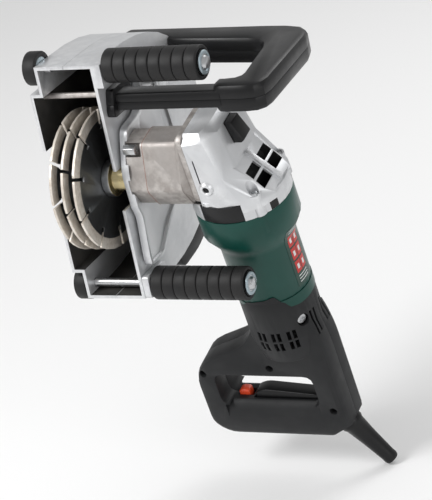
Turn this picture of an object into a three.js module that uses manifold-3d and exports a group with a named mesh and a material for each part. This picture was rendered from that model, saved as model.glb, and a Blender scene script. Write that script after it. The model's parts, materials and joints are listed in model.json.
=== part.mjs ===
// Wall chaser: three diamond discs in a cast guard, a hinged gear and motor head, a bow handle and a
// spade handle. Millimetres. The tool stands against a wall: +Z runs up the wall towards the bow
// handle, +Y away from the wall, +X from the discs to the motor side. The origin is the centre of the
// spindle's outer end face.
import * as THREE from "three";
import { mergeVertices } from "three/addons/utils/BufferGeometryUtils.js";
import Module from "manifold-3d";

const wasm = await Module();
wasm.setup();

// ---------------------------------------------------------------- driving dimensions
const GAP = 0.3; // between touching faces
const RUN = 0.6; // running clearance of a turning piece

const DISC = { count: 3, d: 125, bore: 22.2, core: 1.8, pitch: 11.4, first: 11.2, cutDepth: 40 };
const SEGMENT = { count: 10, t: 2.4, h: 9.5, slot: 3, keyhole: 2.2 };
const FLANGE = { r: 16.5, t: 7, neckR: 11.5, neckEnd: 57 };
const SPINDLE = { r: 7, bodyR: 8, end: 108 };
const NUT = { r: 16, t: 7 };

const HOOD = { x0: -12, split: 27, x1: 56, front: 113, rear: -107, crown: 150, wall: 3, power: 2.6 };
const POCKET = { front: 88, rear: -82, depth: 10 };
const PIVOT = { y: 48, z: 72, r: 6, travel: 21.6 }; // depth hinge
const ROLLER = { r: 15, x0: 63, length: 90, rings: 8, coreR: 11, axleR: 4, frontZ: 107, rearZ: -98 };
const WHEEL = { width: 11.4, hubR: 10 };

const CARRIER = { x0: 58.5, t: 4.5, rim: 2.5, rimW: 3 };
const CASE = { nose: 63.3, split: 81, block: 114, rim: 119.5, flange: 124, wall: 3.2 };
const LAY = { y: 26, z: 12, shaftR: 5 }; // intermediate shaft, parallel to the spindle
const SPUR = { module: 1.5, spindleTeeth: 17, layTeeth: 21, width: 12, x: 90 };
const BEVEL = { module: 1.6, motorTeeth: 11, wheelTeeth: 33, face: 8 };

const MOTOR = { x: 141.4, tilt: 13, shaftR: 4.5 };
const HEAD = { r: 45, wall: 4, base: 45, flare: 31, top: 43, half: 42, crossR: 36 };
const GRILLE = { from: 10, to: 31, half: 22, bar: 2.4, rib: 5, proud: 2.5 };
const FAN = { m0: 48, r: 31, blades: 7 };
const BODY = { r: 35, shoulder: 72, neck: 88, end: 143, wall: 3 };
const TAIL = { r: 35, wall: 3.2, cavityEnd: 205, half: 20 };
const VENT = { from: 177, pitch: 11.5, length: 9.5, brush: 172 };
const HANDLE = { left: -104, right: 38, top: 240, grip: 277, end: 314, openL: -84, openR: 16 };
const TRIGGER = { x0: -55, x1: 16, m0: 268, m1: 285, half: 7.5, travel: 6 };
const LOCK_OFF = { x0: -73, x1: -62, travel: 3 };
const BOW = { z: 73, thick: 26, x0: 2, right: 203, top: 141, inner: 112, bar: 29, armTop: 12, armLow: -8 };
const DUCT = { x0: 4, x1: 52, wall: 3, spigotX: 28, spigotZ: -82, spigotR: 18, spigotEnd: 166 };

// ---------------------------------------------------------------- derived places
const DISC_R = DISC.d / 2;
const WALL_Y = DISC.cutDepth - DISC_R; // the wall's face
const EDGE_Y = WALL_Y + 0.5; // edge of the guard
const AXLE_Y = WALL_Y + ROLLER.r;
const lastDisc = DISC.first + DISC.pitch * (DISC.count - 1);
const rad = THREE.MathUtils.degToRad;

// ---------------------------------------------------------------- finishes
const finish = (color, roughness, metalness) =>
  new THREE.MeshStandardMaterial({ color, roughness, metalness });
const FINISH = {
  castSilver: () => finish(0xd4d6d8, 0.38, 0.75),
  castDull: () => finish(0xa8a29b, 0.55, 0.8),
  steel: () => finish(0x8c8f92, 0.35, 0.95),
  discSteel: () => finish(0x6d7073, 0.42, 0.9),
  zinc: () => finish(0xc2a766, 0.35, 0.9),
  green: () => finish(0x17453b, 0.45, 0.05),
  darkGrey: () => finish(0x3a3b3d, 0.55, 0.05),
  black: () => finish(0x17181a, 0.5, 0.05),
  rubber: () => finish(0x26282a, 0.8, 0),
  red: () => finish(0xc5281c, 0.45, 0),
  copper: () => finish(0xa8613a, 0.4, 0.9),
};

// ---------------------------------------------------------------- solids
// A closed geometry as a solid, ready to be joined or cut.
function solid(geometry, matrix) {
  const flat = geometry.index ? geometry.toNonIndexed() : geometry;
  const bare = new THREE.BufferGeometry();
  bare.setAttribute("position", flat.getAttribute("position").clone());
  if (matrix) bare.applyMatrix4(matrix);
  const merged = mergeVertices(bare, 1e-4);
  const index = merged.index.array;
  const faces = [];
  for (let i = 0; i < index.length; i += 3) {
    const [a, b, c] = index.slice(i, i + 3);
    if (a !== b && b !== c && c !== a) faces.push(a, b, c);
  }
  const build = (triangles) =>
    new wasm.Manifold(
      new wasm.Mesh({
        numProp: 3,
        vertProperties: merged.attributes.position.array,
        triVerts: new Uint32Array(triangles),
      }),
    );
  const made = build(faces);
  return made.volume() < 0 ? build(faces.reverse()) : made;
}

const union = (...solids) => wasm.Manifold.union(solids.flat());
const cut = (body, ...tools) => body.subtract(union(...tools));

// Axis frames: the first two columns carry an outline's plane, the third is the extrusion.
const [EX, EY, EZ] = [0, 1, 2].map((i) => new THREE.Vector3().setComponent(i, 1));
const ALONG = {
  "z'": new THREE.Matrix4().makeRotationX(Math.PI / 2), // outline (x', z'), extruded towards -y'
  x: new THREE.Matrix4().makeBasis(EY, EZ, EX), // outline (y, z)
  y: new THREE.Matrix4().makeBasis(EZ, EX, EY), // outline (z, x)
  z: new THREE.Matrix4().makeBasis(EX, EY, EZ), // outline (x, y)
};

// A flat outline as a plate from one station to another along an axis, with rounded edges if asked.
function plate(outline, axis, from, to, { round = 0, curve = 3 } = {}) {
  const geometry = new THREE.ExtrudeGeometry(outline, {
    depth: to - from - 2 * round,
    bevelEnabled: round > 0,
    bevelThickness: round,
    bevelSize: round,
    bevelOffset: -round,
    bevelSegments: 2,
    curveSegments: curve,
  });
  geometry.translate(0, 0, from + round);
  return solid(geometry, ALONG[axis]);
}

// A polygon whose corners are rounded; a corner is [a, b] or [a, b, radius].
function rounded(corners) {
  const shape = new THREE.Shape();
  corners.forEach(([a, b, r = 0], i) => {
    const here = new THREE.Vector2(a, b);
    const towards = (j) => {
      const [c, d] = corners[(j + corners.length) % corners.length];
      return new THREE.Vector2(c, d).sub(here).normalize().multiplyScalar(r).add(here);
    };
    const enter = towards(i - 1);
    const leave = towards(i + 1);
    if (i === 0) shape.moveTo(enter.x, enter.y);
    else shape.lineTo(enter.x, enter.y);
    if (r > 0) shape.quadraticCurveTo(here.x, here.y, leave.x, leave.y);
  });
  shape.closePath();
  return shape;
}

// The same polygon moved inwards by a distance, corner by corner.
function inset(corners, distance) {
  const area = corners.reduce((sum, [a, b], i) => {
    const [c, d] = corners[(i + 1) % corners.length];
    return sum + a * d - b * c;
  }, 0);
  const turn = Math.sign(area);
  return corners.map(([a, b, r = 0], i) => {
    const here = new THREE.Vector2(a, b);
    const side = (j) => {
      const [c, d] = corners[(j + corners.length) % corners.length];
      return new THREE.Vector2(c, d);
    };
    const into = here.clone().sub(side(i - 1)).normalize();
    const out = side(i + 1).sub(here).normalize();
    const bisector = new THREE.Vector2(-into.y - out.y, into.x + out.x).normalize();
    const reach = (turn * distance) / Math.max(0.3, -into.y * bisector.x + into.x * bisector.y);
    return [a + bisector.x * reach, b + bisector.y * reach, Math.max(0, r - distance)];
  });
}

const box = (x0, x1, y0, y1, z0, z1) =>
  solid(
    new THREE.BoxGeometry(x1 - x0, y1 - y0, z1 - z0),
    new THREE.Matrix4().makeTranslation((x0 + x1) / 2, (y0 + y1) / 2, (z0 + z1) / 2),
  );

// A turned piece: profile points are [radius, station along the axis].
function turned(profile, axis, at = [0, 0, 0], segments = 20) {
  const points = profile.map(([r, s]) => new THREE.Vector2(r, s));
  const spin = { x: [0, 0, -Math.PI / 2], y: [0, 0, 0], z: [Math.PI / 2, 0, 0] }[axis];
  const matrix = new THREE.Matrix4().makeRotationFromEuler(new THREE.Euler(...spin));
  return solid(new THREE.LatheGeometry(points, segments), matrix.setPosition(...at));
}
const rod = (r, from, to, axis, at, segments) =>
  turned([[0, from], [r, from], [r, to], [0, to]], axis, at, segments);
const ring = (r0, r1, from, to, axis, at, segments) =>
  turned([[r0, from], [r1, from], [r1, to], [r0, to], [r0, from]], axis, at, segments);
const hexRod = (r, from, to, axis, at) => rod(r, from, to, axis, at, 6);

// Toothed outline of a gear, with the first tooth at an angle.
function gearOutline(teeth, module, start) {
  const pitch = (2 * Math.PI) / teeth;
  const root = (teeth / 2 - 1.1) * module;
  const tip = (teeth / 2 + 0.8) * module;
  const shape = new THREE.Shape();
  for (let i = 0; i < teeth; i++) {
    [[-0.27, root], [-0.11, tip], [0.11, tip], [0.27, root]].forEach(([share, r], k) => {
      const a = start + (i + share) * pitch;
      const p = [r * Math.cos(a), r * Math.sin(a)];
      if (i + k === 0) shape.moveTo(...p);
      else shape.lineTo(...p);
    });
  }
  shape.closePath();
  return shape;
}

// A bevel gear: a toothed blank that shrinks towards the apex of its cone.
function bevelBlank(teeth, module, face, apex, start) {
  const geometry = new THREE.ExtrudeGeometry(gearOutline(teeth, module, start), {
    depth: face,
    bevelEnabled: false,
  });
  const p = geometry.getAttribute("position");
  for (let i = 0; i < p.count; i++) {
    const share = 1 - p.getZ(i) / apex;
    p.setXY(i, p.getX(i) * share, p.getY(i) * share);
  }
  return geometry;
}

// ---------------------------------------------------------------- scene graph
const chaser = new THREE.Group();
chaser.name = "wall_chaser";
const motorFrame = new THREE.Group(); // x' across, y' away from the wall, -z' down the motor
motorFrame.position.set(MOTOR.x, LAY.y, LAY.z);
motorFrame.rotation.x = rad(MOTOR.tilt);
chaser.add(motorFrame);
motorFrame.updateMatrix();

function add(name, body, material, group = chaser) {
  const m = body.getMesh();
  const geometry = new THREE.BufferGeometry();
  const positions = new Float32Array(m.numVert * 3);
  for (let i = 0; i < m.numVert; i++)
    positions.set(m.vertProperties.subarray(i * m.numProp, i * m.numProp + 3), i * 3);
  geometry.setAttribute("position", new THREE.BufferAttribute(positions, 3));
  geometry.setIndex(new THREE.BufferAttribute(m.triVerts, 1));
  const mesh = new THREE.Mesh(geometry, material());
  mesh.name = name;
  group.add(mesh);
  return body;
}

// ---------------------------------------------------------------- guard
// The guard's side outline: straight sides from its edge, then a rounded crown.
function hoodOutline(grow, edge = EDGE_Y) {
  const middle = (HOOD.front + HOOD.rear) / 2;
  const halfLength = (HOOD.front - HOOD.rear) / 2 + grow;
  const height = HOOD.crown + grow;
  const shape = new THREE.Shape();
  shape.moveTo(edge, middle + halfLength);
  const steps = 20;
  for (let i = 0; i <= steps; i++) {
    const a = (Math.PI * i) / steps;
    const c = Math.cos(a);
    const along = Math.sign(c) * Math.abs(c) ** (2 / HOOD.power);
    const rise = Math.max(0, Math.sin(a)) ** (2 / HOOD.power);
    shape.lineTo(height * rise, middle + halfLength * along);
  }
  shape.lineTo(edge, middle - halfLength);
  shape.closePath();
  return shape;
}

const pocketTools = (deeper) => [
  box(HOOD.x0 - 9, HOOD.x0 + POCKET.depth + deeper, -90, 200, POCKET.front - deeper, 200),
  box(HOOD.x0 - 9, HOOD.x0 + POCKET.depth + deeper, -90, 200, -200, POCKET.rear + deeper),
];
const hoodSolid = plate(hoodOutline(0), "x", HOOD.x0, HOOD.x1);
const hoodHollow = cut(
  plate(hoodOutline(-HOOD.wall, EDGE_Y - 9), "x", HOOD.x0 + HOOD.wall, HOOD.x1 - HOOD.wall),
  pocketTools(HOOD.wall),
);
const ductMouth = box(DUCT.x0 + 6, DUCT.x1 - 6, 70, 120, -130, -70);
const hoodKeepOut = plate(hoodOutline(GAP), "x", HOOD.x0 - 1, HOOD.x1 + GAP);

// The neck of the spindle swings through the inner plate as the cutting depth changes.
const neckSlot = [];
for (let i = 0; i <= 6; i++) {
  const a = (rad(PIVOT.travel) * i) / 6;
  const [y, z] = [-PIVOT.y, -PIVOT.z];
  const at = [
    0,
    PIVOT.y + y * Math.cos(a) - z * Math.sin(a),
    PIVOT.z + y * Math.sin(a) + z * Math.cos(a),
  ];
  neckSlot.push(rod(FLANGE.neckR + 5, HOOD.x1 - 8, HOOD.x1 + 9, "x", at, 20));
}
neckSlot.push(box(HOOD.x1 - 8, HOOD.x1 + 9, EDGE_Y - 9, 0, -22, 15));

const plateWindow = plate(
  rounded([[EDGE_Y - 9, -29], [8, -29, 9], [8, 35, 9], [EDGE_Y - 9, 35]]),
  "x",
  HOOD.x0 - 2,
  HOOD.x0 + HOOD.wall + 2,
);
const rollerSeat = plate(
  rounded([[EDGE_Y, 92], [EDGE_Y, 113], [6, 113], [6, 98, 4]]),
  "x",
  HOOD.x1 - 0.5,
  ROLLER.x0 - RUN,
);
const shell = cut(
  union(hoodSolid, rollerSeat),
  hoodHollow,
  pocketTools(0),
  ductMouth,
  neckSlot,
  plateWindow,
  rod(PIVOT.r + GAP, HOOD.x1 - 9, HOOD.x1 + 9, "x", [0, PIVOT.y, PIVOT.z], 24),
  [ROLLER.frontZ, ROLLER.rearZ].map((z) => rod(ROLLER.axleR + GAP, -30, 90, "x", [0, AXLE_Y, z], 20)),
);
const half = (from, to) => box(from, to, -90, 200, -200, 200);
add("guard_outer_half", shell.intersect(half(-50, HOOD.split - GAP / 2)), FINISH.castSilver);
add("guard_inner_half", shell.intersect(half(HOOD.split + GAP / 2, 90)), FINISH.castSilver);
add(
  "guard_tie_bar",
  rod(2.6, HOOD.x0 + HOOD.wall + GAP, HOOD.x1 - HOOD.wall - GAP, "x", [0, -5, 80], 12),
  FINISH.steel,
);

// ---------------------------------------------------------------- dust duct and hose spigot
const ductSide = [[58, -92], [62, -118, 8], [98, -113, 10], [138, -96, 10], [138, -52, 8], [100, -40]];
const ductHollow = plate(
  rounded(inset(ductSide, DUCT.wall)),
  "x",
  DUCT.x0 + DUCT.wall,
  DUCT.x1 - DUCT.wall,
);
const spigotAt = [DUCT.spigotX, 0, DUCT.spigotZ];
add(
  "dust_duct",
  cut(
    union(
      plate(rounded(ductSide), "x", DUCT.x0, DUCT.x1),
      rod(DUCT.spigotR + 3, 120, 144, "y", spigotAt, 32),
    ),
    ductHollow,
    hoodKeepOut,
    rod(DUCT.spigotR + GAP, 125, 150, "y", spigotAt, 32),
  ),
  FINISH.black,
);
add(
  "dust_spigot",
  turned(
    [
      [DUCT.spigotR - 3, 139], [DUCT.spigotR, 139], [DUCT.spigotR, 145],
      [DUCT.spigotR + 2.5, 145], [DUCT.spigotR + 2.5, 149], [DUCT.spigotR, 149],
      [DUCT.spigotR - 0.8, DUCT.spigotEnd], [DUCT.spigotR - 3, DUCT.spigotEnd], [DUCT.spigotR - 3, 139],
    ],
    "y",
    spigotAt,
    32,
  ),
  FINISH.darkGrey,
);

// ---------------------------------------------------------------- wheels and ribbed rollers
const pocketFace = HOOD.x0 + POCKET.depth;
function smallWheel(name, z, axleFrom) {
  const at = [0, AXLE_Y, z];
  const outer = pocketFace - RUN - WHEEL.width;
  add(`${name}_wheel_tyre`, ring(WHEEL.hubR + 0.2, ROLLER.r, outer, pocketFace - RUN, "x", at, 24),
    FINISH.rubber);
  add(`${name}_wheel_hub`, ring(ROLLER.axleR + GAP, WHEEL.hubR, outer + 2, pocketFace - RUN, "x", at),
    FINISH.steel);
  return outer + 2 - GAP;
}
function ribbedRoller(name, z) {
  const at = [0, AXLE_Y, z];
  const step = ROLLER.length / ROLLER.rings;
  const profile = [[ROLLER.coreR + 0.2, ROLLER.x0]];
  for (let i = 0; i < ROLLER.rings; i++) {
    const s = ROLLER.x0 + i * step;
    profile.push([ROLLER.r - 1.4, s], [ROLLER.r, s + 0.9], [ROLLER.r, s + step - 0.9]);
  }
  const end = ROLLER.x0 + ROLLER.length;
  profile.push([ROLLER.r - 1.4, end], [ROLLER.coreR + 0.2, end], [ROLLER.coreR + 0.2, ROLLER.x0]);
  add(`${name}_roller_cover`, turned(profile, "x", at, 16), FINISH.rubber);
  add(`${name}_roller_core`,
    ring(ROLLER.axleR + GAP, ROLLER.coreR, ROLLER.x0, ROLLER.x0 + ROLLER.length, "x", at, 16),
    FINISH.steel);
}
// An axle with a button head at each end that stands outside a rolling piece.
function axle(name, z, headFrom, from, to) {
  const heads = [];
  if (headFrom !== null) heads.push(rod(6.5, headFrom - 1.7, headFrom, "x", [0, AXLE_Y, z], 20));
  if (to > 100) {
    heads.push(ring(2, 9.5, to, to + 1.6, "x", [0, AXLE_Y, z], 24));
    heads.push(hexRod(5.5, to + 1, to + 4.5, "x", [0, AXLE_Y, z]));
  }
  add(name, union(rod(ROLLER.axleR, from, to + 1, "x", [0, AXLE_Y, z], 20), heads), FINISH.steel);
}
const rollerEnd = ROLLER.x0 + ROLLER.length + GAP;
const wheelFace = smallWheel("front", ROLLER.frontZ);
smallWheel("rear", ROLLER.rearZ);
ribbedRoller("front", ROLLER.frontZ);
ribbedRoller("rear", ROLLER.rearZ);
axle("front_wheel_bolt", ROLLER.frontZ, wheelFace, wheelFace - 1, 6);
axle("front_roller_axle", ROLLER.frontZ, null, HOOD.x1 - HOOD.wall, rollerEnd);
axle("rear_axle", ROLLER.rearZ, wheelFace, wheelFace - 1, rollerEnd);
add(
  "rear_roller_bracket",
  cut(
    plate(rounded([[EDGE_Y, -86, 3], [EDGE_Y, -107, 3], [12, -107, 8], [14, -86, 3]]), "x",
      HOOD.x1 + GAP, ROLLER.x0 - RUN),
    rod(ROLLER.axleR + GAP, 50, 70, "x", [0, AXLE_Y, ROLLER.rearZ], 20),
  ),
  FINISH.castSilver,
);

// ---------------------------------------------------------------- bow handle
const [bowIn, bowOut] = [BOW.right - BOW.bar, BOW.right];
const bowLoop = rounded([
  [BOW.x0, BOW.top + 2, 8], [150, BOW.top - 4, 12], [bowOut - 11, BOW.top - 8, 26],
  [bowOut, BOW.armLow, 20], [bowIn - 20, BOW.armLow, 10], [bowIn - 20, BOW.armTop],
  [bowIn, BOW.armTop, 12], [bowIn - 14, BOW.inner - 8, 22], [HOOD.x1 + 4, BOW.inner], [BOW.x0, BOW.inner],
]);
const bowArm = rounded([
  [bowIn - 12, BOW.armLow], [bowIn - 12, BOW.armTop], [HOOD.x1 + GAP, BOW.armTop],
  [HOOD.x1 + GAP, BOW.armLow],
]);
const bowFoot = rounded([[-16, 62, 3], [-16, 68, 2], [-10, 86, 3], [20, 86, 6], [20, 62, 6]]);
const bow = cut(
  union(
    plate(bowLoop, "z", BOW.z - BOW.thick / 2, BOW.z + BOW.thick / 2, { round: 5 }),
    plate(bowArm, "z", BOW.z - 8, BOW.z + 8, { round: 3 }),
    plate(bowFoot, "x", HOOD.x1 + GAP, CARRIER.x0 + 5),
  ),
  hoodKeepOut,
);
const bowSide = (from, to) => box(-50, 250, -90, 250, from, to);
add("bow_handle_front", bow.intersect(bowSide(BOW.z + GAP / 2, 200)), FINISH.black);
add("bow_handle_rear", bow.intersect(bowSide(-50, BOW.z - GAP / 2)), FINISH.black);

// ---------------------------------------------------------------- depth hinge pin
add(
  "depth_pivot_pin",
  union(
    rod(PIVOT.r, HOOD.x1 - HOOD.wall - 3, 76, "x", [0, PIVOT.y, PIVOT.z], 24),
    hexRod(10, 75, 80, "x", [0, PIVOT.y, PIVOT.z]),
    rod(PIVOT.r + 4, HOOD.x1 - HOOD.wall - 3, HOOD.x1 - HOOD.wall - GAP, "x", [0, PIVOT.y, PIVOT.z], 24),
  ),
  FINISH.steel,
);

// ---------------------------------------------------------------- carrier plate
const caseSide = [
  [-13, 37, 4], [-20, -5, 4], [-4, -25, 4], [38, -25, 5], [60, -8, 5], [60, 10, 6], [46, 27, 6], [11, 43, 5],
];
const carrierX1 = CARRIER.x0 + CARRIER.t;
const carrierSide = [
  [-6, 48, 6], [-19, 10, 6], [-15.5, -22], [-11, -33, 4], [-14, -69], [-13, -79, 3], [12, -78.5, 6],
  [32, -58, 12], [66, -38, 12], [78, 8, 10], [70, 56, 12], [62, 86, 12], [38, 86, 12], [23, 52, 8],
];
add(
  "carrier_plate",
  cut(
    union(
      plate(rounded(carrierSide), "x", CARRIER.x0, carrierX1),
      cut(
        plate(rounded(carrierSide), "x", carrierX1 - 1, carrierX1 + CARRIER.rim),
        plate(rounded(inset(carrierSide, CARRIER.rimW)), "x", carrierX1 - 2, carrierX1 + 9),
        plate(rounded(caseSide), "x", carrierX1, carrierX1 + 9),
      ),
      rod(PIVOT.r + 6, CARRIER.x0, 74.4, "x", [0, PIVOT.y, PIVOT.z], 28),
    ),
    rod(PIVOT.r + GAP, 50, 90, "x", [0, PIVOT.y, PIVOT.z], 24),
    rod(FLANGE.neckR + 3.5, 50, 90, "x", [0, 0, 0], 28),
  ),
  FINISH.castSilver,
);
const bolts = [[-13, 31], [48, -30]];
bolts.forEach(([y, z], i) =>
  add(`carrier_bolt_${i + 1}`, hexRod(5, carrierX1 + GAP, carrierX1 + 12, "x", [0, y, z]), FINISH.steel),
);

// ---------------------------------------------------------------- gear nose and gear case
const layAt = [0, LAY.y, LAY.z];
add(
  "gear_nose",
  cut(
    plate(rounded(inset(caseSide, 1.5)), "x", CASE.nose, CASE.split - GAP),
    rod(14, 50, 100, "x", [0, 0, 0], 28),
    rod(6.5, 50, CASE.split - 3, "x", [0, ...bolts[0]], 16),
    rod(9, CASE.split - 8, 100, "x", layAt, 24),
  ),
  FINISH.castDull,
);
// The flange is square, leans with the motor and joins the case by a taper.
const flangeSide = [
  [-HEAD.half, HEAD.top, 9], [-HEAD.half, -22, 4], [-35, -28, 4], [35, -28, 4], [HEAD.half, -22, 4],
  [HEAD.half, HEAD.top, 9],
];
const motorMatrix = new THREE.Matrix4()
  .makeRotationX(rad(MOTOR.tilt))
  .setPosition(MOTOR.x, LAY.y, LAY.z);
const flangePlate = (grow, from, to) =>
  plate(rounded(inset(flangeSide, -grow)), "x", from - MOTOR.x, to - MOTOR.x)
    .transform(motorMatrix.toArray());
const flangeTaper = (grow) =>
  wasm.Manifold.hull([
    plate(rounded(inset(caseSide, 1 - grow)), "x", CASE.block - 2 - grow, CASE.block - 1),
    flangePlate(grow - 2, CASE.rim - 2, CASE.rim),
  ]);
add(
  "gear_case",
  cut(
    union(
      plate(rounded(caseSide), "x", CASE.split, CASE.block),
      flangeTaper(0),
      flangePlate(0, CASE.rim, CASE.flange),
    ),
    plate(rounded(inset(caseSide, CASE.wall)), "x", CASE.split - 1, CASE.block - 6),
    rod(9, CASE.split, CASE.block, "x", [0, 0, 0], 24),
    rod(18, CASE.block - 9, CASE.flange + 5, "x", layAt, 28),
    rod(HEAD.crossR - HEAD.wall, CASE.flange - 4, CASE.flange + 5, "x", layAt, 32),
  ),
  FINISH.castDull,
);

// ---------------------------------------------------------------- spindle train
const turnSpindle = [
  [0, 0], [SPINDLE.r - 1, 0], [SPINDLE.r, 1], [SPINDLE.r, FLANGE.neckEnd + GAP],
  [SPINDLE.bodyR + 2, FLANGE.neckEnd + GAP], [SPINDLE.bodyR + 2, 64], [SPINDLE.bodyR, 64],
  [SPINDLE.bodyR, SPINDLE.end], [0, SPINDLE.end],
];
add("spindle", turned(turnSpindle, "x", [0, 0, 0], 28), FINISH.steel);
const sleeveR = DISC.bore / 2 - GAP;
const flangeX0 = lastDisc + DISC.core / 2 + GAP;
add(
  "arbor_flange",
  turned(
    [[SPINDLE.r + GAP, DISC.first - DISC.core], [sleeveR, DISC.first - DISC.core], [sleeveR, flangeX0],
      [FLANGE.r, flangeX0], [FLANGE.r, flangeX0 + FLANGE.t], [FLANGE.neckR, flangeX0 + FLANGE.t + 0.5],
      [FLANGE.neckR, FLANGE.neckEnd], [SPINDLE.r + GAP, FLANGE.neckEnd],
      [SPINDLE.r + GAP, DISC.first - DISC.core]],
    "x",
  ),
  FINISH.zinc,
);
const nutX1 = DISC.first - DISC.core - GAP;
add(
  "clamp_nut",
  cut(hexRod(NUT.r, nutX1 - NUT.t, nutX1, "x"), rod(SPINDLE.r + GAP, -5, 20, "x", [0, 0, 0], 28)),
  FINISH.zinc,
);

// One disc: a steel core with keyhole slots and a rim of diamond segments.
function disc(name, x, phase) {
  const slots = [];
  const step = (2 * Math.PI) / SEGMENT.count;
  const rimR = DISC_R - SEGMENT.h;
  const reach = rimR - 6;
  for (let i = 0; i < SEGMENT.count; i++) {
    const turn = new THREE.Matrix4().makeRotationX(phase + i * step);
    const slot = union(
      box(x - 5, x + 5, reach, DISC_R + 5, -SEGMENT.slot / 2, SEGMENT.slot / 2),
      box(x - 5, x + 5, reach - 2, reach + 2, -SEGMENT.keyhole, SEGMENT.keyhole),
    );
    slots.push(slot.transform(turn.toArray()));
  }
  const core = ring(DISC.bore / 2, DISC_R - 1, x - DISC.core / 2, x + DISC.core / 2, "x", [0, 0, 0], 20);
  const rim = ring(rimR, DISC_R, x - SEGMENT.t / 2, x + SEGMENT.t / 2, "x", [0, 0, 0], 40);
  add(name, cut(union(core, rim), slots), FINISH.discSteel);
}
for (let i = 0; i < DISC.count; i++) {
  const x = DISC.first + i * DISC.pitch;
  disc(`disc_${i + 1}`, x, rad(7 * i));
  if (i > 0)
    add(`disc_spacer_${i}`,
      ring(DISC.bore / 2, FLANGE.r, x - DISC.pitch + DISC.core / 2 + GAP, x - DISC.core / 2 - GAP, "x"),
      FINISH.steel);
}

const towardsLay = Math.atan2(LAY.z, LAY.y); // direction of the intermediate shaft in the outline plane
const bored = (body, r, at = [0, 0, 0]) => cut(body, rod(r, 0, 200, "x", at, 24));
add(
  "spindle_gear",
  bored(plate(gearOutline(SPUR.spindleTeeth, SPUR.module, towardsLay), "x", SPUR.x, SPUR.x + SPUR.width),
    SPINDLE.bodyR + 0.1),
  FINISH.steel,
);
const layPhase = towardsLay + Math.PI + Math.PI / SPUR.layTeeth;
const layOutline = gearOutline(SPUR.layTeeth, SPUR.module, layPhase);
add(
  "layshaft_gear",
  bored(plate(layOutline, "x", SPUR.x, SPUR.x + SPUR.width).translate(layAt), LAY.shaftR + 0.1, layAt),
  FINISH.steel,
);
const towardsMotor = -Math.PI / 2 + rad(MOTOR.tilt);
const bevelX = MOTOR.x - (BEVEL.motorTeeth * BEVEL.module) / 2 - 2 * GAP; // heel plane of the bevel wheel
const wheelApex = (BEVEL.motorTeeth * BEVEL.module) / 2;
const wheelFaceX = BEVEL.face * Math.sin(Math.atan2(BEVEL.motorTeeth, BEVEL.wheelTeeth));
add(
  "layshaft",
  rod(LAY.shaftR, CASE.split - 6, bevelX + 1.5, "x", layAt, 24),
  FINISH.steel,
);
add(
  "bevel_wheel",
  bored(
    union(
      solid(bevelBlank(BEVEL.wheelTeeth, BEVEL.module, wheelFaceX, wheelApex, towardsMotor + Math.PI / 33),
        ALONG.x.clone().setPosition(bevelX, LAY.y, LAY.z)),
      rod(20, bevelX - 4, bevelX + 0.5, "x", layAt, 28),
    ),
    LAY.shaftR + 0.1,
    layAt,
  ),
  FINISH.steel,
);
const bearing = (name, r0, r1, from, to, axis, at, group) =>
  add(name, ring(r0 + 0.1, r1 - GAP, from, to, axis, at, 20), FINISH.steel, group);
bearing("spindle_bearing_outer", SPINDLE.bodyR, 14, 66, 77, "x", [0, 0, 0]);
bearing("layshaft_bearing_outer", LAY.shaftR, 9, CASE.split - 7.5, CASE.split - 1, "x", layAt);
bearing("layshaft_bearing_inner", LAY.shaftR, 18, CASE.block - 3, CASE.block + 5, "x", layAt);

// ---------------------------------------------------------------- gear head, in the motor frame
// Stations down the motor are written as m; z' = -m.
const turnedDown = (profile, segments = 32, at = [0, 0]) => {
  const matrix = new THREE.Matrix4().makeRotationX(-Math.PI / 2);
  const points = profile.map(([r, m]) => new THREE.Vector2(r, m));
  return solid(new THREE.LatheGeometry(points, segments), matrix.setPosition(at[0], at[1], 0));
};
const rodDown = (r, from, to, at, segments) =>
  turnedDown([[0, from], [r, from], [r, to], [0, to]], segments, at);
const ringDown = (r0, r1, from, to, segments) =>
  turnedDown([[r0, from], [r1, from], [r1, to], [r0, to], [r0, from]], segments);

const flangeLocal = CASE.flange + GAP - MOTOR.x;
const toMotor = motorFrame.matrix.clone().invert();
const caseKeepOut = union(
  plate(rounded(inset(caseSide, -GAP)), "x", 40, CASE.flange + GAP),
  flangeTaper(GAP),
  flangePlate(GAP, CASE.rim, CASE.flange + GAP),
).transform(toMotor.toArray());
// A slice of the elbow: its front half outline at one station, mirrored to the back.
const slice = (m, thick, half) => {
  const back = half.map(([x, n]) => [x, -n]).reverse();
  return plate(rounded([...half, ...back]), "z", -m - thick, -m);
};
const elbow = wasm.Manifold.hull([
  slice(-HEAD.top, 0.5, [[2, -20], [-2, -33], [flangeLocal, -33]]),
  slice(-HEAD.top + 7, 0.5, [[9, -22], [1, -HEAD.half + 3], [flangeLocal, -HEAD.half]]),
  slice(14, 0.5, [[18, -24], [11, -HEAD.half + 2], [flangeLocal, -HEAD.half]]),
  slice(HEAD.flare + 4, 0.5, [[22, -24], [15, -HEAD.half + 2], [flangeLocal, -HEAD.half]]),
]);
const base = (m, thick) =>
  slice(m, thick, [[43.5, -18], [35, -31.5], [22, -40.5], [0, -45], [flangeLocal, -41.5]]);
const flare = wasm.Manifold.hull([
  slice(0, 0.5, [[15, -25], [6, -HEAD.half + 2], [flangeLocal, -HEAD.half + 2]]),
  base(HEAD.flare, 5),
]);
const headOuter = union(
  elbow,
  flare,
  rodDown(HEAD.r, HEAD.flare - 2, HEAD.base, [0, 0], 32),
);
const headInner = union(
  turnedDown([[0, -30], [8, -30], [10, -8], [14, 4], [15, 34], [0, 34]], 24),
  turned([[0, flangeLocal - 2], [HEAD.crossR - HEAD.wall, flangeLocal - 2], [HEAD.crossR - HEAD.wall, -4],
    [0, -4]], "x", [0, 0, 0], 24),
);
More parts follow.
